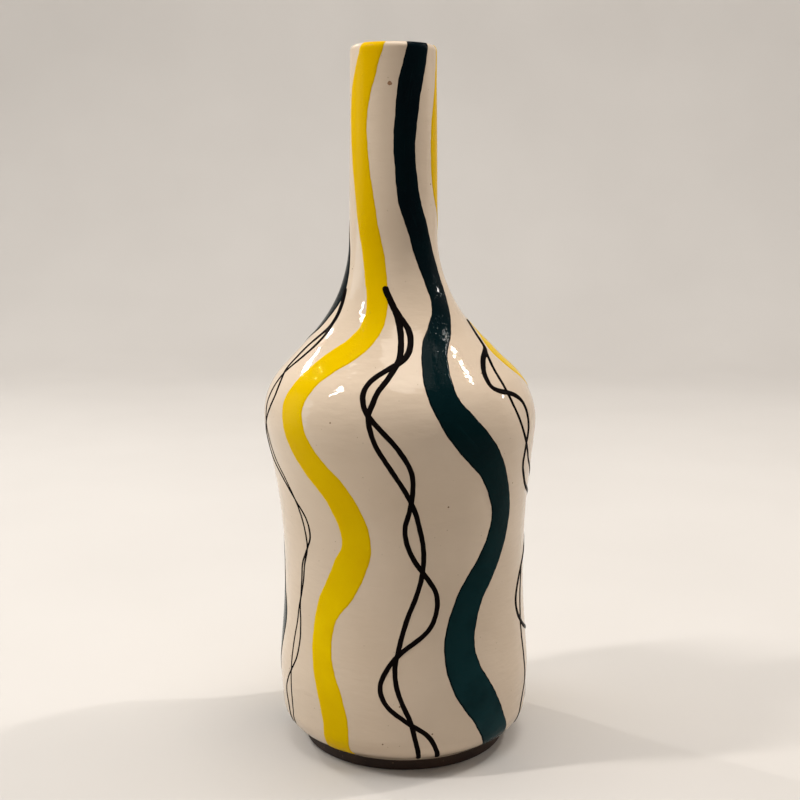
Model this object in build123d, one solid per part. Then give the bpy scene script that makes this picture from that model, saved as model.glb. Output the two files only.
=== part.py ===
from build123d import *
from math import cos, degrees, hypot, radians, sin, sqrt, tan
import os

# A hand-thrown bottle vase, in millimetres. The origin is the middle of the foot on the table, +Z is up and
# the painted front faces -Y. The clay body carries a glaze coat inside and outside, and the paint lies on the
# outer glaze in wavy stripes with a two-strand twist between each two of them.

# Heights of the outline's corners, each one above the last
FOOT_HEIGHT = 4.5
BASE_RISE = 6.7
BULGE_RISE = 23.0
WAIST_RISE = 53.3
SHOULDER_RISE = 67.1
NECK_RISE = 42.6
NECK_LENGTH = 102.8

# Radii of the outline's corners
FOOT_RADIUS = 44.5
BASE_RADIUS = 54.2
BULGE_RADIUS = 55.6
WAIST_RADIUS = 50.9
SHOULDER_RADIUS = 61.0
NECK_RADIUS = 19.0
LIP_RADIUS = 18.0

# Rounding of the same corners
BASE_ROUND = 12.0
BULGE_ROUND = 95.0
WAIST_ROUND = 300.0
SHOULDER_ROUND = 30.5
NECK_ROUND = 61.0
LIP_ROUND = 2.4

# Walls and coats
WALL = 5.5
GLAZE = 0.5
PAINT = 0.3
FLOOR = 6.0
FLOOR_ROUND = 9.0
FOOT_RECESS = 3.0
FOOT_RING = 8.5
FOOT_ROUND = 0.8

# Brush widths
STRIPE_WIDTH = 12.0
LINE_WIDTH = 2.1
THIN_LINE_WIDTH = 1.4
STEM_WIDTH = 2.9

# Strokes as seen in front. Each row is a place on the outside as a share of the way from the foot to the
# lip, the turn round the axis in degrees from the front and growing to the right, and a third value: for a
# stripe its width as a share of the stripe width, for a twist the turn from its middle to its first strand.
YELLOW_FRONT_SHARES = [
    (.995, -27.5, .84), (.96, -39.5, .97), (.93, -50.5, 1.05), (.88, -54, .97), (.82, -45.5, .88),
    (.76, -35, .86), (.70, -22.5, .83), (.67, -18, .78), (.64, -17, .77), (.615, -20, .84), (.59, -27.3, .97),
    (.565, -37.2, 1.03), (.54, -44, 1.05), (.515, -47.7, 1.06), (.495, -49.2, 1.12), (.475, -48.3, 1.1),
    (.445, -45, 1.09), (.415, -38, 1.03), (.385, -29.3, 1.03), (.355, -23.8, 1.05), (.33, -21.5, 1.06),
    (.305, -21.6, 1.08), (.28, -25.5, 1.2), (.25, -31, 1.15), (.225, -36.3, 1), (.20, -39.2, .91),
    (.17, -40, .91), (.135, -38, .96), (.10, -34, 1.06), (.07, -32, 1.08), (.035, -32.3, 1.02),
    (.012, -32.8, 1)]
TEAL_FRONT_SHARES = [
    (.995, 37, .86), (.95, 26, .91), (.925, 21, .88), (.88, 16, .8), (.84, 16, .77), (.795, 21.7, .83),
    (.75, 35.5, .86), (.71, 46.5, .94), (.68, 49.5, .93), (.66, 48.5, .86), (.64, 43.3, .81), (.615, 33, .86),
    (.59, 24.5, .9), (.555, 19.7, .96), (.525, 18.8, 1.03), (.50, 20.3, 1.07), (.475, 24.5, 1.22),
    (.445, 32.2, 1.24), (.415, 39.8, 1.11), (.385, 45, 1.05), (.35, 48, 1.02), (.315, 46, 1.03),
    (.28, 39.5, 1.04), (.24, 30.5, 1.07), (.20, 26, 1.14), (.165, 25.4, 1.23), (.135, 28.2, 1.32),
    (.11, 33, 1.38), (.08, 39.2, 1.28), (.055, 44, 1.25), (.035, 47.3, 1.18), (.012, 49.5, 1.05)]
TEAL_LEFT_SHARES = [
    (.995, -109, .74), (.95, -113, .86), (.90, -116, .9), (.86, -117, .88), (.83, -116, .85),
    (.80, -113, .85), (.775, -110.5, .85), (.755, -106.5, .85), (.737, -97.6, .84), (.72, -86.5, .83),
    (.70, -79.8, .82), (.685, -76.2, .82), (.67, -74, .81), (.657, -75.2, .80), (.643, -78.6, .80),
    (.635, -80.6, .80), (.626, -82.2, .80), (.617, -85.3, .81), (.609, -91, .82), (.60, -97.5, .86),
    (.585, -104, .90), (.56, -108.5, .95), (.52, -110, 1), (.48, -109, 1.05), (.44, -107, 1.05),
    (.40, -103.5, 1), (.35, -99, 1), (.30, -95, 1), (.26, -91, 1.05), (.22, -86, 1.05), (.205, -83.5, 1.05),
    (.19, -80, 1.05), (.175, -80, 1.05), (.155, -83, 1.05), (.12, -89, 1.05), (.08, -94, 1.05),
    (.035, -98, 1), (.012, -100, .98)]
YELLOW_RIGHT_SHARES = [
    (.995, 97, .84), (.965, 94, .90), (.93, 86.5, .95), (.90, 79, .92), (.88, 75.5, .90), (.85, 73.8, .87),
    (.825, 75.5, .85), (.81, 78.5, .85), (.795, 85, .85), (.78, 96, .85), (.755, 109, .85), (.715, 119, .85),
    (.68, 119, .80), (.65, 115.5, .78), (.635, 111.5, .78), (.62, 106, .80), (.607, 99, .83),
    (.595, 90.5, .86), (.584, 83.3, .87), (.572, 78.6, .88), (.559, 78.8, .90), (.546, 80.7, .93),
    (.534, 84.5, .97), (.522, 91, 1), (.508, 98, 1.02), (.49, 103.5, 1.05), (.47, 107.5, 1.08),
    (.42, 114, 1.05), (.36, 113, 1), (.305, 107, 1), (.25, 104, 1), (.19, 107, 1), (.13, 114, 1),
    (.07, 117, 1), (.035, 118, 1), (.012, 118.5, .98)]
TWIST_FRONT_SHARES = [
    (.655, -2.1, 0), (.65, -.6, 0), (.64, 2.3, .8), (.62, 6.4, 3), (.595, 6, 3), (.572, 2.5, 1.3),
    (.557, -2.9, -1.4), (.54, -8.2, -3.5), (.522, -11.7, -3.1),
    (.504, -12.5, -1.8), (.49, -12, 0), (.47, -8.8, 2.3), (.448, -4.8, 4), (.42, 0, 3.8),
    (.394, 2.6, 1.7), (.365, 3.9, -1.1), (.342, 3.8, -3.1), (.32, 4.8, -3.4), (.297, 6.6, -1.8),
    (.274, 8.8, 1.3), (.252, 9.7, 4.4), (.227, 8, 6.1), (.204, 4.9, 5.4), (.176, -2.1, .8),
    (.156, -5.6, -1.4), (.13, -6.9, -3.6), (.105, -4.1, -3.5), (.082, 1.8, -.8), (.063, 7, 2.8),
    (.04, 10, 4.1), (.014, 11.6, 4.8)]
TWIST_LEFT_SHARES = [
    (.652, -59.3, 0), (.645, -58.6, 0), (.632, -58.2, 0), (.618, -59.2, -.7),
    (.602, -61.8, -3), (.584, -65.3, -4.5), (.562, -68.7, -3.5), (.54, -71, -1.3), (.52, -69.5, 2),
    (.50, -69.6, 3.6), (.484, -71.2, 3.2), (.47, -72.5, 1.5), (.455, -74, -.6), (.435, -75.5, -3),
    (.413, -71.5, -2.8), (.39, -62.7, -1.6), (.361, -54, .2), (.34, -49.4, 1.6), (.316, -47.8, 1.5),
    (.297, -49.3, 0), (.275, -52.8, -.9), (.255, -54, -.8), (.235, -55.2, -.3), (.212, -56.8, .5),
    (.19, -57, 1.5), (.166, -57.9, 2.6), (.14, -59.5, 2.2), (.118, -61.9, 0), (.105, -63.5, -1.5),
    (.082, -65.5, -3.4), (.057, -64.2, -2.4), (.037, -63.5, -1.5)]
TWIST_RIGHT_SHARES = [
    (.625, 87, 0), (.61, 79.5, 0), (.597, 73, 0), (.585, 67.3, 0), (.572, 62, -.5), (.561, 55.2, -2.3),
    (.55, 51.9, -3.8), (.538, 49.6, -4.4), (.526, 48.6, -4.4), (.518, 49.5, -3.5), (.511, 52, -.6),
    (.505, 55.2, 1.8), (.497, 58.3, 4.1), (.488, 59.4, 4.8), (.478, 60.6, 4.6), (.467, 61.8, 3.9),
    (.455, 63, 3), (.445, 64, 1.6), (.434, 64.8, 0), (.421, 65.8, -2), (.41, 66.7, -3.4), (.40, 69, -5),
    (.388, 73.2, -6.8), (.376, 77.7, -8.3), (.367, 81.8, -8.3), (.358, 86.5, -6.5), (.348, 91.5, -3.5),
    (.335, 95, 0), (.315, 96.5, 2), (.298, 94, 2.4), (.285, 88.5, 2), (.273, 81.5, 1.2), (.258, 74, -.2),
    (.245, 71, -1.8), (.224, 68.2, -3.2), (.208, 67.6, -3.2), (.192, 68.6, -1.9), (.18, 70.3, .2),
    (.172, 71.8, 1.8), (.164, 74.3, 4), (.156, 77.3, 7), (.148, 81, 10.2), (.135, 82.5, 11), (.121, 83, 11),
    (.105, 83.5, 10.2), (.086, 82.8, 9.2), (.07, 80, 9), (.05, 77.5, 9.3), (.03, 76, 8.5)]
CORNER_ROOM_SHARE = .98

# The back repeats the seen teal stripe, turned round the axis by these degrees
TEAL_BACK_TURN = 135
YELLOW_BACK_TURN = 180

# The outline's corners from the foot to the lip
rises = [FOOT_HEIGHT, BASE_RISE, BULGE_RISE, WAIST_RISE, SHOULDER_RISE, NECK_RISE, NECK_LENGTH]
heights = [sum(rises[:count + 1]) for count in range(len(rises))]
reaches = [FOOT_RADIUS, BASE_RADIUS, BULGE_RADIUS, WAIST_RADIUS, SHOULDER_RADIUS, NECK_RADIUS, LIP_RADIUS]
rounds = [BASE_ROUND, BULGE_ROUND, WAIST_ROUND, SHOULDER_ROUND, NECK_ROUND]
corners = list(zip(reaches, heights))
height = heights[-1]
floor_top = FOOT_RECESS + FLOOR
lip_middle = LIP_RADIUS - WALL / 2


def run(number, depth):
    """A straight run of the outline as a point and a direction, moved into the wall by a depth."""
    (low_x, low_z), (high_x, high_z) = corners[number:number + 2]
    length = hypot(high_x - low_x, high_z - low_z)
    along = ((high_x - low_x) / length, (high_z - low_z) / length)
    return (low_x - along[1] * depth, low_z + along[0] * depth), along


def upright(radius):
    return (radius, 0), (0, 1)


def level(z):
    return (0, z), (1, 0)


def meet(first, second):
    """The point where two lines cross."""
    (x, z), (along_x, along_z) = first
    (other_x, other_z), (across_x, across_z) = second
    turn = along_x * across_z - along_z * across_x
    way = ((other_x - x) * across_z - (other_z - z) * across_x) / turn
    return x + along_x * way, z + along_z * way


def shifted_round(number, depth):
    """A corner's rounding at a depth: smaller where the corner stands out, larger where it is hollow."""
    (_, before), (_, after) = run(number, 0), run(number + 1, 0)
    stands_out = before[0] * after[1] - before[1] * after[0] > 0
    return max(rounds[number] + (-depth if stands_out else depth), 0)


def eased(lines, radii):
    """A path along lines with rounded corners, each rounding kept to what its two runs have room for."""
    points = [Vector(*meet(first, second)) for first, second in zip(lines, lines[1:])]
    runs = [after - before for before, after in zip(points, points[1:])]
    taken = [radius * tan(radians(before.get_angle(after)) / 2)
             for radius, before, after in zip(radii, runs, runs[1:])]
    ends = [0, *taken, 0]
    room = [min(1, CORNER_ROOM_SHARE * length.length / max(first + second, PAINT))
            for length, first, second in zip(runs, ends, ends[1:])]
    kept = [radius * min(pair) for radius, pair in zip(radii, zip(room, room[1:]))]
    return FilletPolyline(*points, radius=kept)


def outside(depth):
    """The outer face from the foot to the lip's middle, at a depth below the glaze's face."""
    lines = [upright(FOOT_RADIUS), *[run(number, depth) for number in range(len(corners) - 1)],
             level(height - depth), upright(lip_middle)]
    return eased(lines, [*[shifted_round(number, depth) for number in range(len(rounds))], LIP_ROUND - depth])


def inside(depth):
    """The inner face from the floor's middle to the lip's middle, at a depth below the glaze's face."""
    lines = [upright(0), level(floor_top - depth),
             *[run(number, WALL - depth) for number in range(1, len(corners) - 1)],
             level(height - depth), upright(lip_middle)]
    radii = [shifted_round(number, WALL - depth) for number in range(1, len(rounds))]
    return eased(lines, [FLOOR_ROUND + depth, *radii, LIP_ROUND - depth])


def turned(*paths):
    """The solid of revolution of the area that the paths close."""
    edges = [edge for path in paths for edge in path.edges()]
    return revolve(Plane.XZ * make_face(edges), Axis.Z)


def coat(upper, lower):
    """A coat between two faces that run alike."""
    return turned(upper, lower, Line(upper @ 0, lower @ 0), Line(upper @ 1, lower @ 1))


def clay():
    """The clay under both coats, with the recess in the foot."""
    inner, outer = inside(GLAZE), outside(GLAZE)
    ring = FOOT_RADIUS - FOOT_RING
    foot = FilletPolyline(outer @ 0, (FOOT_RADIUS, 0), (ring, 0), (ring, FOOT_RECESS), (0, FOOT_RECESS),
                          radius=[FOOT_ROUND, FOOT_ROUND, FOOT_ROUND])
    return turned(inner, outer, foot, Line(foot @ 1, inner @ 0))


side = outside(0)
paint_shell = coat(outside(-PAINT), side)
stroke_reach = max(reaches) + WALL


def stroke(rows, middle):
    """A stroke's outline in the plane that faces its middle. Rows are share, turn and width."""
    places = [side @ share for share, _, _ in rows]
    left, right = [], []
    for number, (_, turn, width) in enumerate(rows):
        above, below = max(number - 1, 0), min(number + 1, len(rows) - 1)
        way = (rows[above][0] - rows[below][0]) * side.length
        slope = radians(rows[above][1] - rows[below][1]) * places[number].X / way
        half = degrees(width / 2 * sqrt(1 + slope * slope) / places[number].X)
        for edge, sideways in ((left, -half), (right, half)):
            edge.append((places[number].X * sin(radians(turn + sideways - middle)), places[number].Y))
    outline = [Spline(left), Line(left[-1], right[-1]), Spline(right), Line(right[0], left[0])]
    return make_face([edge for path in outline for edge in path.edges()])


def painted(footprint, middle):
    """The paint under a footprint that is laid on the vase from the way its middle faces."""
    facing = Plane(origin=(0, 0, 0), x_dir=(cos(radians(middle)), sin(radians(middle)), 0),
                   z_dir=(sin(radians(middle)), -cos(radians(middle)), 0))
    block = extrude(facing * footprint, amount=stroke_reach, dir=facing.z_dir)
    return paint_shell & block


def middle_turn(rows):
    turns = [turn for _, turn, _ in rows]
    return (min(turns) + max(turns)) / 2


def stripe(rows):
    middle = middle_turn(rows)
    wide = [(share, turn, width * STRIPE_WIDTH) for share, turn, width in rows]
    return painted(stroke(wide, middle), middle)


def twist(rows, line_width):
    """Two strands that cross. Above the split the first strand runs alone, as a thicker stem."""
    middle = middle_turn(rows)
    split = next(number for number, row in enumerate(rows) if row[2]) - 1
    first = [(share, turn + spread, STEM_WIDTH if number <= split else line_width)
             for number, (share, turn, spread) in enumerate(rows)]
    second = [(share, turn - spread, line_width) for share, turn, spread in rows[split:]]
    return painted(stroke(first, middle) + stroke(second, middle), middle)


def round_axis(rows, turn_by):
    return [(share, turn + turn_by, value) for share, turn, value in rows]


def turn_at(rows, share):
    """A stroke's turn at a share, straight between its rows."""
    for (top, top_turn, _), (low, low_turn, _) in zip(rows, rows[1:]):
        if low <= share:
            return low_turn + (top_turn - low_turn) * (share - low) / (top - low)
    return rows[-1][1]


def midway(left_rows, right_rows):
    """A hidden twist that runs midway between two stripes and opens like the one in front."""
    return [(share, (turn_at(left_rows, share) + turn_at(right_rows, share)) / 2, spread)
            for share, _, spread in TWIST_FRONT_SHARES]


teal_back_shares = round_axis(TEAL_FRONT_SHARES, TEAL_BACK_TURN)
yellow_back_shares = round_axis(TEAL_FRONT_SHARES, YELLOW_BACK_TURN)
teal_left_round_shares = round_axis(TEAL_LEFT_SHARES, 360)

pieces = {
    "clay_body": clay(),
    "outer_glaze": coat(side, outside(GLAZE)),
    "inner_glaze": coat(inside(0), inside(GLAZE)),
    "yellow_stripe_front": stripe(YELLOW_FRONT_SHARES),
    "yellow_stripe_right": stripe(YELLOW_RIGHT_SHARES),
    "yellow_stripe_back": stripe(yellow_back_shares),
    "teal_stripe_front": stripe(TEAL_FRONT_SHARES),
    "teal_stripe_left": stripe(TEAL_LEFT_SHARES),
    "teal_stripe_back": stripe(teal_back_shares),
    "twist_line_front": twist(TWIST_FRONT_SHARES, LINE_WIDTH),
    "twist_line_left": twist(TWIST_LEFT_SHARES, THIN_LINE_WIDTH),
    "twist_line_right": twist(TWIST_RIGHT_SHARES, LINE_WIDTH),
    "twist_line_back_right": twist(midway(YELLOW_RIGHT_SHARES, teal_back_shares), LINE_WIDTH),
    "twist_line_back": twist(midway(teal_back_shares, yellow_back_shares), LINE_WIDTH),
    "twist_line_back_left": twist(midway(yellow_back_shares, teal_left_round_shares), LINE_WIDTH),
}

os.makedirs("parts", exist_ok=True)
for name, piece in pieces.items():
    export_step(piece, f"parts/{name}.step")
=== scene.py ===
import math
import bpy
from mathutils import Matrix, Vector


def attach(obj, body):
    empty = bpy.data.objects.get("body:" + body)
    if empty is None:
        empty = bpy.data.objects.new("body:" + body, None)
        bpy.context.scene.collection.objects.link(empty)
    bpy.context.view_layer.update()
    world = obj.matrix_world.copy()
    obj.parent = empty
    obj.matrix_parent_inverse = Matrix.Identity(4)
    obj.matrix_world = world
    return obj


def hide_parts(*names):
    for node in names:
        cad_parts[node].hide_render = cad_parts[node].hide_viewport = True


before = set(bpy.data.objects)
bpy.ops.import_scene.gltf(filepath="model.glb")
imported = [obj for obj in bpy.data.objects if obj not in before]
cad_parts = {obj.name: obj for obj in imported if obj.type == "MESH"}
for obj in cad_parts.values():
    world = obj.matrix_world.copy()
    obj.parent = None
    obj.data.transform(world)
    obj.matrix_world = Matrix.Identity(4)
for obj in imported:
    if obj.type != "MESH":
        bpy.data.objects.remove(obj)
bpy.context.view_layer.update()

# The vase's sizes in millimetres, as in its CAD model. The scene itself is in metres.
MM = 0.001
RISES = [4.5, 6.7, 23.0, 53.3, 67.1, 42.6, 102.8]
RADII = [44.5, 54.2, 55.6, 50.9, 61.0, 19.0, 18.0]
ROUNDS = [12.0, 95.0, 300.0, 30.5, 61.0]
LIP_ROUND = 2.4
WALL = 5.5
GLAZE = 0.5
PAINT = 0.3
FLOOR = 6.0
FLOOR_ROUND = 9.0
FOOT_RECESS = 3.0
FOOT_RING = 8.5
FOOT_ROUND = 0.8

# Brush widths in millimetres. A pair is a line's width below the split and further down.
STRIPE_WIDTH = 12.0
STEM_WIDTH = 2.9
RIGHT_STEM_WIDTH = 2.4
LINE_WIDTHS = (2.7, 2.1)
LEFT_LINE_WIDTHS = (2.3, 1.05)
RIGHT_THIN_LINE_WIDTHS = (1.9, 1.7)
THIN_SHARE = .4

# The paint's heights over the glaze, its depth in it, and how its edges and tips run out
STRIPE_LIFT = PAINT * .7
STEM_LIFT = PAINT * 1.4
LOW_LIFT = PAINT * .8
PAINT_ROOT = GLAZE / 4
EDGE_TAPER = 0.7
TIP_LENGTH = 12.0
BLUNT_SHARE = .01

# The uneven swing of brushed edges in millimetres, from waves of a share, a length and a phase
STRIPE_SWING = .22
LINE_SWING = .12
SWING_WAVES = ((.5, 3.7, 1.3), (.3, 1.53, 2.9), (.2, .63, 4.7))
FIRST_STRIPE_SEED = 1
STRIPE_SEED_STEP = 4
FIRST_TWIST_SEED = 31
TWIST_SEED_STEP = 10
STRAND_SEED_STEP = 3

# A small chip in the glaze below the lip
CHIP_SIZE = 1.2
CHIP_LEAST_SHARE = .4
CHIP_SHARE = .942
CHIP_TURN = -3.8
CHIP_COLOUR = (.30, .17, .10)

# The thrown wall leans a little to one side between two heights, and is a little slimmer for that
SLIM_SHARE = .998
LEAN_LOW = 1.85
LEAN_HIGH = -2.85
LEAN_FROM = 75.0
LEAN_TO = 235.0

# Mesh steps, and the places across a stroke, which are closer towards its edges
PATH_STEP = 0.8
STROKE_STEP = 0.7
LEAST_ARC_STEPS = 8
SECTORS = 256
SHARP_ANGLE = 50
ON_AXIS = 1e-6
ACROSS = (-1, -.97, -.92, -.84, -.72, -.5, -.2, .2, .5, .72, .84, .92, .97, 1)

# Shine, roughness and the parts of a noise that the materials use
GLAZE_SHINE = .25
PAINT_SHINE = .02
LINE_SHINE = .004
GLAZE_IOR = 1.5
CLAY_IOR = 1.45
GLAZE_ROUGHNESS = (.015, .035)
PAINT_ROUGHNESS = (.03, .06)
LINE_ROUGHNESS = (.15, .25)
CLAY_ROUGHNESS = .75
PAPER_ROUGHNESS = .9
NOISE_RANGE = (.3, .7)
RING_STRETCH = (.35, .35, 1)
STREAK_STRETCH = 14
SPECK_CORE_SHARE = .55
SPECK_CHANCE = (.8, .85)
DARK_SPECK = (.16, .09, .05)
PALE_SPECK = (.34, .25, .17)
GROG = (.10, .06, .04)

# Camera, fitted to the photograph's outline, rim and foot
CAMERA_PLACE = (0, -0.5297, 0.2415)
CAMERA_PITCH = 0.170
CAMERA_LENS = 55.5
SENSOR_WIDTH = 36
CLIP_START = .01

# Stage in metres
STAGE_RADIUS = 2.6
STAGE_MIDDLE = -1.0
STAGE_BEND = .5
STAGE_WALL = 1.3
STAGE_STEPS = 24

# Lamps: name, direction from what it points at, distance and sizes in metres, level, colour and target
WARM = (1, .95, .89)
COOL = (.80, .93, 1)
VASE = (0, 0, .16)
BACKDROP = (0, 1.6, .3)
LAMPS = [
    ("high_left_lamp", (-.66, -.18, .72), 1.35, (.05, .38), .48, WARM, VASE),
    ("back_left_lamp", (-.66, .54, .52), 1.35, (.014, .06), .22, WARM, VASE),
    ("high_right_lamp", (.61, .21, .76), 1.35, (.03, .08), .28, WARM, VASE),
    ("back_right_lamp", (.86, .30, .40), 1.35, (.03, .05), .10, WARM, VASE),
    ("top_softbox", (.1, -.15, 1), 1.2, (.6, .6), .40, WARM, VASE),
    ("left_softbox", (-.95, .10, .08), 1.3, (.7, 1.0), .29, COOL, VASE),
    ("right_softbox", (.90, .35, .25), 1.3, (.5, .9), .04, WARM, VASE),
    ("backdrop_lamp", (0, -.6, .8), 2.3, (2.0, .5), .45, WARM, BACKDROP)]
SKY_COLOUR = (1, .96, .92)
SKY_LEVEL = .25

# Strokes: share of the way from the foot to the lip, turn in degrees from the front and to the right, and
# the width as a share of the stripe width or, on a twist, the turn from its middle to its first strand
YELLOW_FRONT_SHARES = [
    (.995, -27.5, .84), (.96, -39.5, .97), (.93, -50.5, 1.05), (.88, -54, .97), (.82, -45.5, .88),
    (.76, -35, .86), (.70, -22.5, .83), (.67, -18, .78), (.64, -17, .77), (.615, -20, .84), (.59, -27.3, .97),
    (.565, -37.2, 1.03), (.54, -44, 1.05), (.515, -47.7, 1.06), (.495, -49.2, 1.12), (.475, -48.3, 1.1),
    (.445, -45, 1.09), (.415, -38, 1.03), (.385, -29.3, 1.03), (.355, -23.8, 1.05), (.33, -21.5, 1.06),
    (.305, -21.6, 1.08), (.28, -25.5, 1.2), (.25, -31, 1.15), (.225, -36.3, 1), (.20, -39.2, .91),
    (.17, -40, .91), (.135, -38, .96), (.10, -34, 1.06), (.07, -32, 1.08), (.035, -32.3, 1.02),
    (.012, -32.8, 1)]
TEAL_FRONT_SHARES = [
    (.995, 37, .86), (.95, 26, .91), (.925, 21, .88), (.88, 16, .8), (.84, 16, .77), (.795, 21.7, .83),
    (.75, 35.5, .86), (.71, 46.5, .94), (.68, 49.5, .93), (.66, 48.5, .86), (.64, 43.3, .81), (.615, 33, .86),
    (.59, 24.5, .9), (.555, 19.7, .96), (.525, 18.8, 1.03), (.50, 20.3, 1.07), (.475, 24.5, 1.22),
    (.445, 32.2, 1.24), (.415, 39.8, 1.11), (.385, 45, 1.05), (.35, 48, 1.02), (.315, 46, 1.03),
    (.28, 39.5, 1.04), (.24, 30.5, 1.07), (.20, 26, 1.14), (.165, 25.4, 1.23), (.135, 28.2, 1.32),
    (.11, 33, 1.38), (.08, 39.2, 1.28), (.055, 44, 1.25), (.035, 47.3, 1.18), (.012, 49.5, 1.05)]
TEAL_LEFT_SHARES = [
    (.995, -109, .74), (.95, -113, .86), (.90, -116, .9), (.86, -117, .88), (.83, -116, .85),
    (.80, -113, .85), (.775, -110.5, .85), (.755, -106.5, .85), (.737, -97.6, .84), (.72, -86.5, .83),
    (.70, -79.8, .82), (.685, -76.2, .82), (.67, -74, .81), (.657, -75.2, .80), (.643, -78.6, .80),
    (.635, -80.6, .80), (.626, -82.2, .80), (.617, -85.3, .81), (.609, -91, .82), (.60, -97.5, .86),
    (.585, -104, .90), (.56, -108.5, .95), (.52, -110, 1), (.48, -109, 1.05), (.44, -107, 1.05),
    (.40, -103.5, 1), (.35, -99, 1), (.30, -95, 1), (.26, -91, 1.05), (.22, -86, 1.05), (.205, -83.5, 1.05),
    (.19, -80, 1.05), (.175, -80, 1.05), (.155, -83, 1.05), (.12, -89, 1.05), (.08, -94, 1.05),
    (.035, -98, 1), (.012, -100, .98)]
YELLOW_RIGHT_SHARES = [
    (.995, 97, .84), (.965, 94, .90), (.93, 86.5, .95), (.90, 79, .92), (.88, 75.5, .90), (.85, 73.8, .87),
    (.825, 75.5, .85), (.81, 78.5, .85), (.795, 85, .85), (.78, 96, .85), (.755, 109, .85), (.715, 119, .85),
    (.68, 119, .80), (.65, 115.5, .78), (.635, 111.5, .78), (.62, 106, .80), (.607, 99, .83),
    (.595, 90.5, .86), (.584, 83.3, .87), (.572, 78.6, .88), (.559, 78.8, .90), (.546, 80.7, .93),
    (.534, 84.5, .97), (.522, 91, 1), (.508, 98, 1.02), (.49, 103.5, 1.05), (.47, 107.5, 1.08),
    (.42, 114, 1.05), (.36, 113, 1), (.305, 107, 1), (.25, 104, 1), (.19, 107, 1), (.13, 114, 1),
    (.07, 117, 1), (.035, 118, 1), (.012, 118.5, .98)]
TWIST_FRONT_SHARES = [
    (.682, -10.5, 0), (.672, -7.8, 0), (.66, -3.6, 0), (.65, -.6, 0), (.64, 2.3, .8), (.62, 6.4, 3),
    (.595, 6, 3), (.572, 2.5, 1.3), (.557, -2.9, -1.4), (.54, -8.2, -3.5), (.522, -11.7, -3.1),
    (.504, -12.5, -1.8), (.49, -12, 0), (.47, -8.8, 2.3), (.448, -4.8, 4), (.42, 0, 3.8),
    (.394, 2.6, 1.7), (.365, 3.9, -1.1), (.342, 3.8, -3.1), (.32, 4.8, -3.4), (.297, 6.6, -1.8),
    (.274, 8.8, 1.3), (.252, 9.7, 4.4), (.227, 8, 6.1), (.204, 4.9, 5.4), (.176, -2.1, .8),
    (.156, -5.6, -1.4), (.13, -6.9, -3.6), (.105, -4.1, -3.5), (.082, 1.8, -.8), (.063, 7, 2.8),
    (.04, 10, 4.1), (.014, 11.6, 4.8)]
TWIST_LEFT_SHARES = [
    (.676, -63.5, 0), (.66, -60.3, 0), (.645, -58.6, 0), (.632, -58.2, 0), (.618, -59.2, -.7),
    (.602, -61.8, -3), (.584, -65.3, -4.5), (.562, -68.7, -3.5), (.54, -71, -1.3), (.52, -69.5, 2),
    (.50, -69.6, 3.6), (.484, -71.2, 3.2), (.47, -72.5, 1.5), (.455, -74, -.6), (.435, -75.5, -3),
    (.413, -71.5, -2.8), (.39, -62.7, -1.6), (.361, -54, .2), (.34, -49.4, 1.6), (.316, -47.8, 1.5),
    (.297, -49.3, 0), (.275, -52.8, -.9), (.255, -54, -.8), (.235, -55.2, -.3), (.212, -56.8, .5),
    (.19, -57, 1.5), (.166, -57.9, 2.6), (.14, -59.5, 2.2), (.118, -61.9, 0), (.105, -63.5, -1.5),
    (.082, -65.5, -3.4), (.057, -64.2, -2.4), (.037, -63.5, -1.5)]
TWIST_RIGHT_SHARES = [
    (.625, 84, 0), (.612, 77.5, 0), (.60, 73, 0), (.59, 70, 0), (.578, 66.4, 0), (.571, 61.8, -1.4),
    (.564, 57.8, -3.1), (.549, 52.9, -4.4), (.533, 50.4, -4.7), (.52, 50.2, -4.2), (.513, 52, -2.3),
    (.509, 54.2, 0), (.502, 57.1, 2.6), (.493, 59.1, 4.2), (.481, 60.6, 4.5), (.464, 61.9, 3.6),
    (.451, 62.9, 2.3), (.436, 64.4, 0), (.421, 65.8, -2), (.41, 66.7, -3.4), (.40, 69, -5),
    (.388, 73.2, -6.8), (.376, 77.7, -8.3), (.367, 81.8, -8.3), (.358, 86.5, -6.5), (.348, 91.5, -3.5),
    (.335, 95, 0), (.315, 96.5, 2), (.298, 94, 2.4), (.285, 88.5, 2), (.273, 81.5, 1.2), (.258, 74, -.2),
    (.245, 71, -1.8), (.224, 68.2, -3.2), (.208, 67.6, -3.2), (.192, 68.6, -1.9), (.18, 70.3, .2),
    (.172, 71.8, 1.8), (.164, 74.3, 4), (.156, 77.3, 7), (.148, 81, 10.2), (.135, 82.5, 11), (.121, 83, 11),
    (.105, 83.5, 10.2), (.086, 82.8, 9.2), (.07, 80, 9), (.05, 77.5, 9.3), (.03, 76, 8.5)]

# The back repeats the seen teal stripe, turned round the axis by these degrees. Its twists start lower.
TEAL_BACK_TURN = 135
YELLOW_BACK_TURN = 180
FULL_TURN = 360
HIDDEN_TOP_SHARE = .67

# What follows from these sizes
HEIGHTS = [sum(RISES[:count + 1]) for count in range(len(RISES))]
CORNERS = [Vector(corner) for corner in zip(RADII, HEIGHTS)]
HEIGHT = HEIGHTS[-1]
LIP_MIDDLE = RADII[-1] - WALL / 2
FLOOR_TOP = FOOT_RECESS + FLOOR


# The wall's outline

def smoothstep(value, start, end):
    t = min(max((value - start) / (end - start), 0), 1)
    return t * t * (3 - 2 * t)


def lean(z):
    """How far the wall stands to the side at a height."""
    return LEAN_LOW + (LEAN_HIGH - LEAN_LOW) * smoothstep(z, LEAN_FROM, LEAN_TO)


def upright_line(radius):
    return (radius, 0), (0, 1)


def level_line(z):
    return (0, z), (1, 0)


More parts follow.
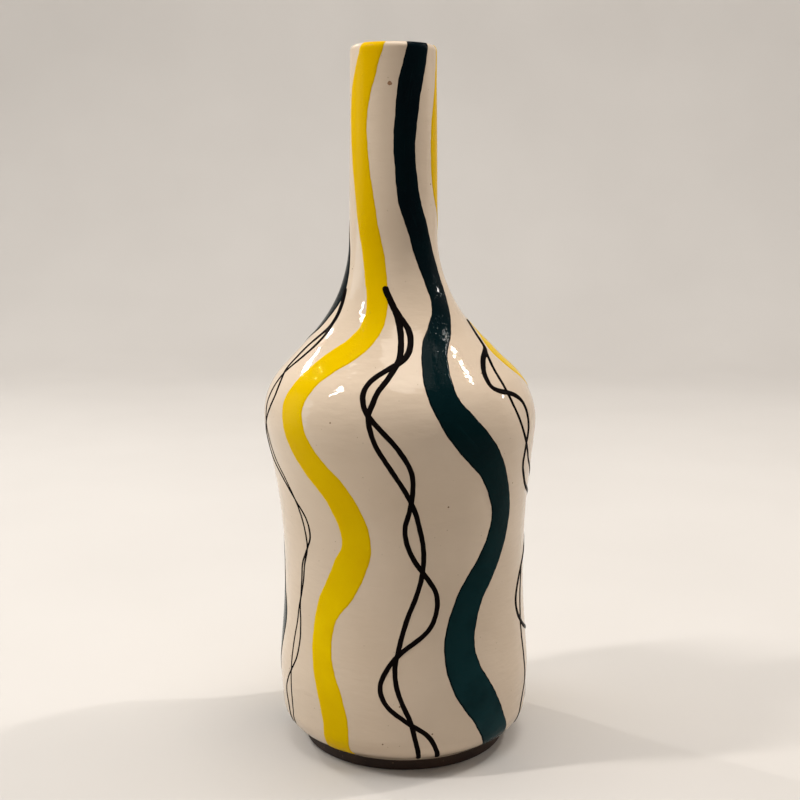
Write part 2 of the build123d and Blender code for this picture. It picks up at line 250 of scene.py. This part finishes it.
def meet(first, second):
    """The point where two lines, each a point and a direction, cross."""
    (point, along), (other, across) = first, second
    turn = along[0] * across[1] - along[1] * across[0]
    way = ((other[0] - point[0]) * across[1] - (other[1] - point[1]) * across[0]) / turn
    return Vector((point[0] + along[0] * way, point[1] + along[1] * way))


def crossings(lines):
    return [meet(first, second) for first, second in zip(lines, lines[1:])]


def run(number, depth):
    """A straight run of the outline, moved into the wall by a depth."""
    along = (CORNERS[number + 1] - CORNERS[number]).normalized()
    return CORNERS[number] + Vector((-along.y, along.x)) * depth, along


def shifted_round(number, depth):
    """A corner's rounding at a depth: smaller where the corner stands out, larger where it is hollow."""
    before, after = run(number, 0)[1], run(number + 1, 0)[1]
    return ROUNDS[number] + (-depth if before.cross(after) > 0 else depth)


def rounded(points, radii):
    """Points at about equal steps along straight runs that are joined by arcs."""
    path = [points[0]]
    for before, corner, after, radius in zip(points, points[1:], points[2:], radii):
        into, out = (corner - before).normalized(), (after - corner).normalized()
        turn = math.atan2(into.cross(out), into.dot(out))
        cut = radius * math.tan(abs(turn) / 2)
        fill(path, corner - into * cut)
        centre = path[-1] + Vector((-into.y, into.x)) * math.copysign(radius, turn)
        steps = max(LEAST_ARC_STEPS, math.ceil(abs(turn) * radius / PATH_STEP))
        spoke = path[-1] - centre
        for step in range(1, steps + 1):
            angle = turn * step / steps
            path.append(centre + Vector((spoke.x * math.cos(angle) - spoke.y * math.sin(angle),
                                         spoke.x * math.sin(angle) + spoke.y * math.cos(angle))))
    fill(path, points[-1])
    return path


def fill(path, end):
    """Goes on straight to an end, in short steps."""
    start = path[-1]
    steps = max(1, math.ceil((end - start).length / PATH_STEP))
    path.extend(start.lerp(end, (step + 1) / steps) for step in range(steps))


def outside(depth):
    """The outer face from the foot to the lip's middle, at a depth below the glaze's face."""
    lines = [upright_line(RADII[0]), *[run(number, depth) for number in range(len(CORNERS) - 1)],
             level_line(HEIGHT - depth), upright_line(LIP_MIDDLE)]
    radii = [shifted_round(number, depth) for number in range(len(ROUNDS))]
    return rounded(crossings(lines), [*radii, LIP_ROUND - depth])


def inside(depth):
    """The inner face from the floor's middle to the lip's middle, at a depth below the glaze's face."""
    lines = [upright_line(0), level_line(FLOOR_TOP - depth),
             *[run(number, WALL - depth) for number in range(1, len(CORNERS) - 1)],
             level_line(HEIGHT - depth), upright_line(LIP_MIDDLE)]
    radii = [shifted_round(number, WALL - depth) for number in range(1, len(ROUNDS))]
    return rounded(crossings(lines), [FLOOR_ROUND + depth, *radii, LIP_ROUND - depth])


SIDE = outside(0)
SIDE_WAYS = [0]
for before, after in zip(SIDE, SIDE[1:]):
    SIDE_WAYS.append(SIDE_WAYS[-1] + (after - before).length)
SIDE_LENGTH = SIDE_WAYS[-1]


def on_side(share):
    """Radius and height on the outside at a share of its length, and the way that the face looks there."""
    way = min(max(share, 0), 1) * SIDE_LENGTH
    low, high = 0, len(SIDE_WAYS) - 1
    while high - low > 1:
        half = (low + high) // 2
        low, high = (half, high) if SIDE_WAYS[half] <= way else (low, half)
    part = (way - SIDE_WAYS[low]) / (SIDE_WAYS[high] - SIDE_WAYS[low])
    place = SIDE[low].lerp(SIDE[high], part)
    first = SIDE[high] - SIDE[max(low - 1, 0)]
    second = SIDE[min(high + 1, len(SIDE) - 1)] - SIDE[low]
    along = first.normalized().lerp(second.normalized(), part).normalized()
    return place, Vector((along.y, -along.x))


def at(place, angle):
    """The point in metres at a radius, a height and an angle round the leaning axis."""
    radius = place.x * SLIM_SHARE
    return MM * (radius * math.sin(angle) + lean(place.y)), -MM * radius * math.cos(angle), MM * place.y


def on_vase(share, turn, lift):
    """A point in metres on the outside, lifted off it by some millimetres."""
    place, facing = on_side(share)
    return at(place + facing * lift, math.radians(turn))


# Meshes

def mesh_object(name, points, faces, material):
    mesh = bpy.data.meshes.new(name)
    mesh.from_pydata(points, [], faces)
    mesh.validate()
    mesh.shade_smooth()
    mesh.materials.append(material)
    made = bpy.data.objects.new(name, mesh)
    bpy.context.collection.objects.link(made)
    return made


def make_piece(name, points, faces, material):
    """A piece of the vase, which rides on the vase's one body."""
    made = mesh_object(name, points, faces, material)
    made.data.set_sharp_from_angle(angle=math.radians(SHARP_ANGLE))
    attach(made, "root")
    return made


def stands_for(piece, node):
    """Hides a node's CAD part, whose place the piece takes."""
    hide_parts(node)


def turned(name, profile, material):
    """A closed profile turned round the vase's leaning axis."""
    points, rings, faces = [], [], []
    for place in profile:
        count = 1 if place.x < ON_AXIS else SECTORS
        rings.append(range(len(points), len(points) + count))
        for sector in range(count):
            points.append(at(place, 2 * math.pi * sector / SECTORS))
    for low, high in zip(rings, [*rings[1:], rings[0]]):
        for sector in range(SECTORS):
            following = (sector + 1) % SECTORS
            corners = [low[sector % len(low)], low[following % len(low)],
                       high[following % len(high)], high[sector % len(high)]]
            face = list(dict.fromkeys(corners))
            if len(face) > 2:
                faces.append(face)
    return make_piece(name, points, faces, material)


def curve_through(rows, column):
    """A smooth function of the share through the rows' values in a column."""
    shares = [row[0] for row in rows]
    values = [row[column] for row in rows]
    slopes = []
    for number in range(len(rows)):
        above, below = max(number - 1, 0), min(number + 1, len(rows) - 1)
        slopes.append((values[below] - values[above]) / (shares[below] - shares[above]))

    def value(share):
        number = 0
        while number < len(rows) - 2 and share < shares[number + 1]:
            number += 1
        gap = shares[number + 1] - shares[number]
        t = min(max((share - shares[number]) / gap, 0), 1)
        start = values[number] + (values[number + 1] - values[number]) * t * t * (3 - 2 * t)
        return start + gap * t * (1 - t) * ((1 - t) * slopes[number] - t * slopes[number + 1])
    return value


def unsteady(seed, way):
    """The small uneven swing of a brush's edge along its way, between about -1 and 1."""
    return sum(share * math.sin(way / length + phase * seed) for share, length, phase in SWING_WAVES)


def stroke_section(half, lift):
    """Places across a stroke and their heights: over the crown, and back along the underside."""
    crown = []
    for side in ACROSS:
        inward = min((1 - abs(side)) * half / EDGE_TAPER, 1)
        crown.append((side, lift * (1 - (1 - inward) ** 2)))
    return [*crown, *[(side, -PAINT_ROOT) for side in reversed(ACROSS)]]


def stroke_faces(steps):
    """Faces between a stroke's sections, and over its two ends."""
    count = 2 * len(ACROSS)
    faces = []
    for step in range(steps):
        for place in range(count):
            following = (place + 1) % count
            faces.append([step * count + place, step * count + following,
                          (step + 1) * count + following, (step + 1) * count + place])
    for start, flip in ((0, False), (steps * count, True)):
        for place in range(len(ACROSS) - 1):
            face = [start + place, start + count - 1 - place, start + count - 2 - place, start + place + 1]
            faces.append(face[::-1] if flip else face)
    return faces


def paint_stroke(name, rows, lifts, swing, round_ends, seed, material):
    """A brushed stroke of raised paint that follows rows of share, turn and width in millimetres.

    The lifts are the paint's heights at the stroke's top and further down. An end is round or cut level."""
    turn_at, width_at = curve_through(rows, 1), curve_through(rows, 2)
    top, low = rows[0][0], rows[-1][0]
    steps = math.ceil((top - low) * SIDE_LENGTH / STROKE_STEP)
    points, brush = [], []
    way = 0
    for step in range(steps + 1):
        share = top + (low - top) * step / steps
        turn = turn_at(share)
        radius = on_side(share)[0].x
        around = radius * math.radians(turn_at(share - STROKE_STEP / SIDE_LENGTH) - turn)
        length = math.hypot(STROKE_STEP, around)
        half = width_at(share) / 2
        to_end = min(top - share, share - low) * SIDE_LENGTH
        if round_ends:
            near = min(to_end * length / STROKE_STEP / half, 1)
            half *= math.sqrt(max(1 - (1 - near) ** 2, BLUNT_SHARE))
        slant = around / length * (1 if round_ends else min(to_end / half, 1))
        level = math.sqrt(1 - slant ** 2)
        spread = half * level * length / STROKE_STEP
        lift = lifts[1] + (lifts[0] - lifts[1]) * max(1 - (top - share) * SIDE_LENGTH / TIP_LENGTH, 0)
        for side, height in stroke_section(half, lift):
            sideways = side * (spread + swing * unsteady(seed + math.copysign(1, side), way))
            points.append(on_vase(share + slant * sideways / SIDE_LENGTH,
                                  turn + math.degrees(level * sideways / radius), height))
            brush.append((way * MM, sideways * MM, abs(side)))
        way += length
    made = make_piece(name, points, stroke_faces(steps), material)
    layer = made.data.attributes.new("brush", "FLOAT_VECTOR", "POINT")
    layer.data.foreach_set("vector", [value for row in brush for value in row])
    return made


# Materials

class Nodes:
    """Short names for a material's node tree."""

    # Sockets of the mix node that take its share and its two colours, and the one that gives the result
    MIX_SHARE, MIX_FIRST, MIX_SECOND, MIX_RESULT = 0, 6, 7, 2

    def __init__(self, name):
        self.material = bpy.data.materials.new(name)
        self.material.use_nodes = True
        self.tree = self.material.node_tree
        self.shader = self.tree.nodes["Principled BSDF"]

    def add(self, kind, **inputs):
        node = self.tree.nodes.new(kind)
        for key, value in inputs.items():
            self.put(node, key.replace("_", " "), value)
        return node

    def put(self, node, key, value):
        """Links a socket to an input, or sets the input to a value."""
        if isinstance(value, bpy.types.NodeSocket):
            self.tree.links.new(value, node.inputs[key])
        else:
            node.inputs[key].default_value = value

    def place(self):
        return self.add("ShaderNodeTexCoord").outputs["Object"]

    def rings(self):
        """Places drawn out sideways, for the fine rings that throwing leaves."""
        return self.add("ShaderNodeMapping", Vector=self.place(), Scale=RING_STRETCH).outputs["Vector"]

    def brush(self, stretch):
        """Where a point lies in its stroke, drawn out along the stroke."""
        attribute = self.add("ShaderNodeAttribute")
        attribute.attribute_name = "brush"
        mapping = self.add("ShaderNodeMapping", Vector=attribute.outputs["Vector"], Scale=(1 / stretch, 1, 1))
        return mapping.outputs["Vector"]

    def part(self, vector, axis):
        return self.add("ShaderNodeSeparateXYZ", Vector=vector).outputs[axis]

    def noise(self, vector, scale, detail):
        return self.add("ShaderNodeTexNoise", Vector=vector, Scale=scale, Detail=detail).outputs["Fac"]

    def ramp(self, value, *stops):
        """A colour ramp from pairs of place and colour."""
        node = self.add("ShaderNodeValToRGB", Fac=value)
        elements = node.color_ramp.elements
        while len(elements) < len(stops):
            elements.new(1)
        for element, (place, colour) in zip(elements, stops):
            element.position = place
            element.color = (*colour, 1)
        return node.outputs["Color"]

    def clouds(self, noise, shade, pale):
        """A colour that goes from a shade to a pale one with a noise."""
        return self.ramp(noise, *zip(NOISE_RANGE, (shade, pale)))

    def level(self, value, old, new):
        """A value carried over from an old range to a new one."""
        node = self.add("ShaderNodeMapRange", Value=value)
        for key, number in zip(("From Min", "From Max", "To Min", "To Max"), (*old, *new)):
            node.inputs[key].default_value = number
        return node.outputs["Result"]

    def mix(self, share, first, second):
        """A colour mixed from two, each a socket or a plain colour."""
        node = self.add("ShaderNodeMix")
        node.data_type = "RGBA"
        self.put(node, self.MIX_SHARE, share)
        for key, colour in ((self.MIX_FIRST, first), (self.MIX_SECOND, second)):
            self.put(node, key, colour if isinstance(colour, bpy.types.NodeSocket) else (*colour, 1))
        return node.outputs[self.MIX_RESULT]

    def maths(self, operation, first, second):
        node = self.add("ShaderNodeMath")
        node.operation = operation
        self.put(node, 0, first)
        self.put(node, 1, second)
        return node.outputs["Value"]

    def distance(self, first, second):
        node = self.add("ShaderNodeVectorMath")
        node.operation = "DISTANCE"
        self.put(node, 0, first)
        self.put(node, 1, second)
        return node.outputs["Value"]

    def bump(self, height, distance, strength, under=None):
        """A bumpy normal, with its distance in metres, over another one if there is one."""
        node = self.add("ShaderNodeBump", Height=height, Distance=distance, Strength=strength)
        if under is not None:
            self.put(node, "Normal", under)
        return node.outputs["Normal"]

    def finish(self, colour, roughness, normal, **constants):
        self.put(self.shader, "Base Color", colour)
        self.put(self.shader, "Roughness", roughness)
        self.put(self.shader, "Normal", normal)
        for key, value in constants.items():
            self.put(self.shader, key.replace("_", " "), value)
        return self.material


def specks(nodes, vector, scale, size, colour, under):
    """Sparse round specks of a colour over another colour."""
    cells = nodes.add("ShaderNodeTexVoronoi", Vector=vector, Scale=scale)
    near = nodes.level(cells.outputs["Distance"], (size, size * SPECK_CORE_SHARE), (0, 1))
    chance = nodes.add("ShaderNodeSeparateColor", Color=cells.outputs["Color"]).outputs["Red"]
    some = nodes.level(chance, SPECK_CHANCE, (0, 1))
    return nodes.mix(nodes.maths("MULTIPLY", near, some), under, colour)


def chip(nodes, vector, under):
    """A small ragged chip below the lip, where the clay shows."""
    ragged = nodes.noise(vector, scale=700, detail=2)
    reach = nodes.level(ragged, NOISE_RANGE, (CHIP_SIZE * MM * CHIP_LEAST_SHARE, CHIP_SIZE * MM))
    away = nodes.distance(vector, on_vase(CHIP_SHARE, CHIP_TURN, 0))
    return nodes.mix(nodes.maths("LESS_THAN", away, reach), under, CHIP_COLOUR)


def glaze_material(name, pale, shade):
    """A glossy warm off-white glaze: cloudy tint, fine specks, a chip, slow waves and throwing rings."""
    nodes = Nodes(name)
    place = nodes.place()
    clouds = nodes.clouds(nodes.noise(place, scale=22, detail=4), shade, pale)
    speckled = specks(nodes, place, scale=150, size=.07, colour=DARK_SPECK, under=clouds)
    speckled = specks(nodes, place, scale=420, size=.10, colour=PALE_SPECK, under=speckled)
    chipped = chip(nodes, place, speckled)
    waves = nodes.bump(nodes.noise(place, scale=110, detail=1), distance=.0010, strength=.10)
    thrown = nodes.noise(nodes.rings(), scale=340, detail=2)
    rings = nodes.bump(thrown, distance=.0005, strength=.42, under=waves)
    roughness = nodes.level(nodes.noise(place, scale=60, detail=3), NOISE_RANGE, GLAZE_ROUGHNESS)
    return nodes.finish(chipped, roughness, rings, IOR=GLAZE_IOR, Specular_IOR_Level=GLAZE_SHINE)


def brushed_material(name, tints, thin, thick, edge, shine, rough):
    """Brushed glaze paint: a tint by height, clouds, streaks along the stroke, thick edges and a bubbly skin.

    The tints are pairs of a share of the vase's height and a colour."""
    nodes = Nodes(name)
    place = nodes.place()
    tint = nodes.ramp(nodes.level(nodes.part(place, "Z"), (0, HEIGHT * MM), (0, 1)), *tints)
    clouds = nodes.noise(place, scale=70, detail=3)
    body = nodes.mix(nodes.level(clouds, (.4, .75), (0, .6)), tint, thick)
    streaks = nodes.noise(nodes.brush(STREAK_STRETCH), scale=900, detail=3)
    streaky = nodes.mix(nodes.level(streaks, (.55, .75), (0, .25)), body, thin)
    across = nodes.part(nodes.brush(1), "Z")
    edged = nodes.mix(nodes.level(across, (.87, .97), (0, .9)), streaky, edge)
    ridges = nodes.bump(streaks, distance=.0002, strength=.08)
    thrown = nodes.noise(nodes.rings(), scale=260, detail=1)
    waves = nodes.bump(thrown, distance=.0006, strength=.14, under=ridges)
    sparse = nodes.level(nodes.noise(place, scale=700, detail=1), (.56, .7), (0, 1))
    bubbles = nodes.bump(sparse, distance=.0001, strength=.5, under=waves)
    roughness = nodes.level(clouds, NOISE_RANGE, rough)
    return nodes.finish(edged, roughness, bubbles, IOR=GLAZE_IOR, Specular_IOR_Level=shine)


def clay_material():
    """Bare stoneware with painted shade: near-black cloudy brown, paler grog and a sandy skin."""
    nodes = Nodes("bare_clay")
    place = nodes.place()
    # Near-black browns: painted shade of the gap under the base, over the clay's own brown.
    body = nodes.clouds(nodes.noise(place, scale=60, detail=4), (.020, .009, .005), (.045, .022, .012))
    grog = specks(nodes, place, scale=700, size=.3, colour=GROG, under=body)
    sand = nodes.bump(nodes.noise(place, scale=1500, detail=2), distance=.0003, strength=.5)
    return nodes.finish(grog, CLAY_ROUGHNESS, sand, IOR=CLAY_IOR)


def paper_material():
    """The stage's pale paper, with a faint cloud and grain."""
    nodes = Nodes("stage_paper")
    place = nodes.place()
    paper = nodes.clouds(nodes.noise(place, scale=6, detail=2), (.54, .52, .50), (.56, .54, .52))
    grain = nodes.bump(nodes.noise(place, scale=900, detail=1), distance=.0002, strength=.1)
    return nodes.finish(paper, PAPER_ROUGHNESS, grain)


white_glaze = glaze_material("white_glaze", pale=(.66, .54, .42), shade=(.61, .49, .37))
liner_glaze = glaze_material("liner_glaze", pale=(.60, .49, .38), shade=(.55, .44, .33))
yellow_paint = brushed_material(
    "yellow_paint",
    tints=[(0, (.67, .43, 0)), (.22, (.78, .54, 0)), (.4, (.68, .44, 0)), (.56, (.67, .44, 0)),
           (.77, (.64, .40, 0)), (1, (.70, .42, 0))],
    thin=(.74, .48, 0), thick=(.66, .41, 0), edge=(.66, .42, 0), shine=PAINT_SHINE, rough=PAINT_ROUGHNESS)
teal_paint = brushed_material(
    "teal_paint",
    tints=[(0, (.024, .055, .062)), (.08, (.006, .031, .036)), (.4, (.002, .016, .018)),
           (.7, (.002, .005, .007))],
    thin=(.006, .028, .034), thick=(.001, .008, .010), edge=(.001, .002, .003),
    shine=PAINT_SHINE, rough=PAINT_ROUGHNESS)
dark_line = brushed_material(
    "dark_line_paint",
    tints=[(0, (.006, .004, .004)), (1, (.004, .003, .003))],
    thin=(.010, .008, .007), thick=(.002, .002, .002), edge=(.002, .001, .001),
    shine=LINE_SHINE, rough=LINE_ROUGHNESS)
bare_clay = clay_material()


# The pot: clay, coats inside and outside

def clay_pot():
    ring = RADII[0] - FOOT_RING
    foot_points = [outside(GLAZE)[0], Vector((RADII[0], 0)), Vector((ring, 0)),
                   Vector((ring, FOOT_RECESS)), Vector((0, FOOT_RECESS))]
    foot = rounded(foot_points, [FOOT_ROUND, FOOT_ROUND, FOOT_ROUND])
    profile = [*inside(GLAZE), *reversed(outside(GLAZE)[:-1]), *foot[1:]]
    stands_for(turned("clay_body_thrown", profile, bare_clay), "clay_body")


def outer_coat():
    profile = [*SIDE, *reversed(outside(GLAZE))]
    stands_for(turned("outer_glaze_skin", profile, white_glaze), "outer_glaze")


def inner_coat():
    profile = [*reversed(inside(0)), *inside(GLAZE)]
    stands_for(turned("inner_glaze_skin", profile, liner_glaze), "inner_glaze")


clay_pot()
outer_coat()
inner_coat()


# The painted stripes and twists

def round_axis(rows, turn_by):
    return [(share, turn + turn_by, value) for share, turn, value in rows]


def midway(left_rows, right_rows):
    """A hidden twist midway between two stripes, which opens like the one in front."""
    left_turn, right_turn = curve_through(left_rows, 1), curve_through(right_rows, 1)
    return [(share, (left_turn(share) + right_turn(share)) / 2, spread)
            for share, _, spread in TWIST_FRONT_SHARES if share < HIDDEN_TOP_SHARE]


def stripe(node, rows, seed, material):
    wide = [(share, turn, width * STRIPE_WIDTH) for share, turn, width in rows]
    lifts = (STRIPE_LIFT, STRIPE_LIFT)
    made = paint_stroke(node + "_brushed", wide, lifts, STRIPE_SWING, False, seed, material)
    stands_for(made, node)


def twist(node, rows, seed, stem_width, strand_widths):
    """Two strands that cross and thin out downwards. Above the split the first runs alone, as a stem."""
    split = next(number for number, row in enumerate(rows) if row[2]) - 1
    split_share = rows[split][0]
    strands = (("first", 1, rows, (STEM_LIFT, PAINT)), ("second", -1, rows[split:], (LOW_LIFT, LOW_LIFT)))
    for (strand, side, strand_rows, lifts), (top, low) in zip(strands, strand_widths):
        line = []
        for share, turn, spread in strand_rows:
            width = low + (top - low) * smoothstep(share, THIN_SHARE, split_share)
            on_stem = side > 0 and share >= split_share
            line.append((share, turn + side * spread, stem_width if on_stem else width))
        made = paint_stroke(f"{node}_{strand}", line, lifts, LINE_SWING, True, seed, dark_line)
        stands_for(made, node)
        seed += STRAND_SEED_STEP


teal_back_shares = round_axis(TEAL_FRONT_SHARES, TEAL_BACK_TURN)
yellow_back_shares = round_axis(TEAL_FRONT_SHARES, YELLOW_BACK_TURN)
teal_left_round_shares = round_axis(TEAL_LEFT_SHARES, FULL_TURN)

stripes = [
    ("yellow_stripe_front", YELLOW_FRONT_SHARES, yellow_paint, "yellow_paint"),
    ("yellow_stripe_right", YELLOW_RIGHT_SHARES, yellow_paint, "yellow_paint"),
    ("yellow_stripe_back", yellow_back_shares, yellow_paint, "yellow_paint"),
    ("teal_stripe_front", TEAL_FRONT_SHARES, teal_paint, "teal_paint"),
    ("teal_stripe_left", TEAL_LEFT_SHARES, teal_paint, "teal_paint"),
    ("teal_stripe_back", teal_back_shares, teal_paint, "teal_paint")]
for number, (node, rows, material, slot) in enumerate(stripes):
    stripe(node, rows, FIRST_STRIPE_SEED + STRIPE_SEED_STEP * number, material)

both_lines = (LINE_WIDTHS, LINE_WIDTHS)
both_left_lines = (LEFT_LINE_WIDTHS, LEFT_LINE_WIDTHS)
right_lines = (LINE_WIDTHS, RIGHT_THIN_LINE_WIDTHS)
twists = [
    ("twist_line_front", TWIST_FRONT_SHARES, STEM_WIDTH, both_lines),
    ("twist_line_left", TWIST_LEFT_SHARES, STEM_WIDTH, both_left_lines),
    ("twist_line_right", TWIST_RIGHT_SHARES, RIGHT_STEM_WIDTH, right_lines),
    ("twist_line_back_right", midway(YELLOW_RIGHT_SHARES, teal_back_shares), STEM_WIDTH, both_lines),
    ("twist_line_back", midway(teal_back_shares, yellow_back_shares), STEM_WIDTH, both_lines),
    ("twist_line_back_left", midway(yellow_back_shares, teal_left_round_shares), STEM_WIDTH, both_lines)]
for number, (node, rows, stem_width, strand_widths) in enumerate(twists):
    twist(node, rows, FIRST_TWIST_SEED + TWIST_SEED_STEP * number, stem_width, strand_widths)


# Stage, light and camera

def stage():
    """A round pale floor that sweeps up into a low wall all round, with more room in front of the vase."""
    profile = []
    for step in range(STAGE_STEPS + 1):
        angle = math.pi / 2 * step / STAGE_STEPS
        radius = STAGE_RADIUS - STAGE_BEND * (1 - math.sin(angle))
        profile.append((radius, STAGE_BEND * (1 - math.cos(angle))))
    profile.append((STAGE_RADIUS, STAGE_WALL))
    points, faces = [(0, STAGE_MIDDLE, 0)], []
    for radius, z in profile:
        for sector in range(SECTORS):
            angle = 2 * math.pi * sector / SECTORS
            points.append((radius * math.sin(angle), STAGE_MIDDLE - radius * math.cos(angle), z))
    for sector in range(SECTORS):
        following = (sector + 1) % SECTORS
        faces.append([0, 1 + sector, 1 + following])
        for start in range(1, len(points) - SECTORS, SECTORS):
            above = start + SECTORS
            faces.append([start + sector, above + sector, above + following, start + following])
    mesh_object("stage", points, faces, paper_material())


def area_light(name, direction, distance, size, level, colour, target):
    """A lamp that lights a face turned to it at a level, where 1 shows a colour as it is written."""
    lamp = bpy.data.lights.new(name, "AREA")
    lamp.shape = "RECTANGLE"
    lamp.size, lamp.size_y = size
    lamp.energy = level * math.pi ** 2 * distance ** 2
    lamp.color = colour
    made = bpy.data.objects.new(name, lamp)
    outward = Vector(direction).normalized()
    made.location = Vector(target) + outward * distance
    made.rotation_euler = (-outward).to_track_quat("-Z", "Y").to_euler()
    bpy.context.collection.objects.link(made)


def sky():
    world = bpy.data.worlds.new("studio")
    bpy.context.scene.world = world
    world.use_nodes = True
    background = world.node_tree.nodes["Background"]
    background.inputs["Color"].default_value = (*SKY_COLOUR, 1)
    background.inputs["Strength"].default_value = SKY_LEVEL


def camera():
    lens = bpy.data.cameras.new("camera")
    lens.lens = CAMERA_LENS
    lens.sensor_width = SENSOR_WIDTH
    lens.clip_start = CLIP_START
    made = bpy.data.objects.new("camera", lens)
    made.location = CAMERA_PLACE
    made.rotation_euler = (math.pi / 2 - CAMERA_PITCH, 0, 0)
    bpy.context.collection.objects.link(made)
    bpy.context.scene.camera = made


stage()
for lamp_row in LAMPS:
    area_light(*lamp_row)
sky()
camera()
bpy.context.scene.view_settings.view_transform = "Standard"
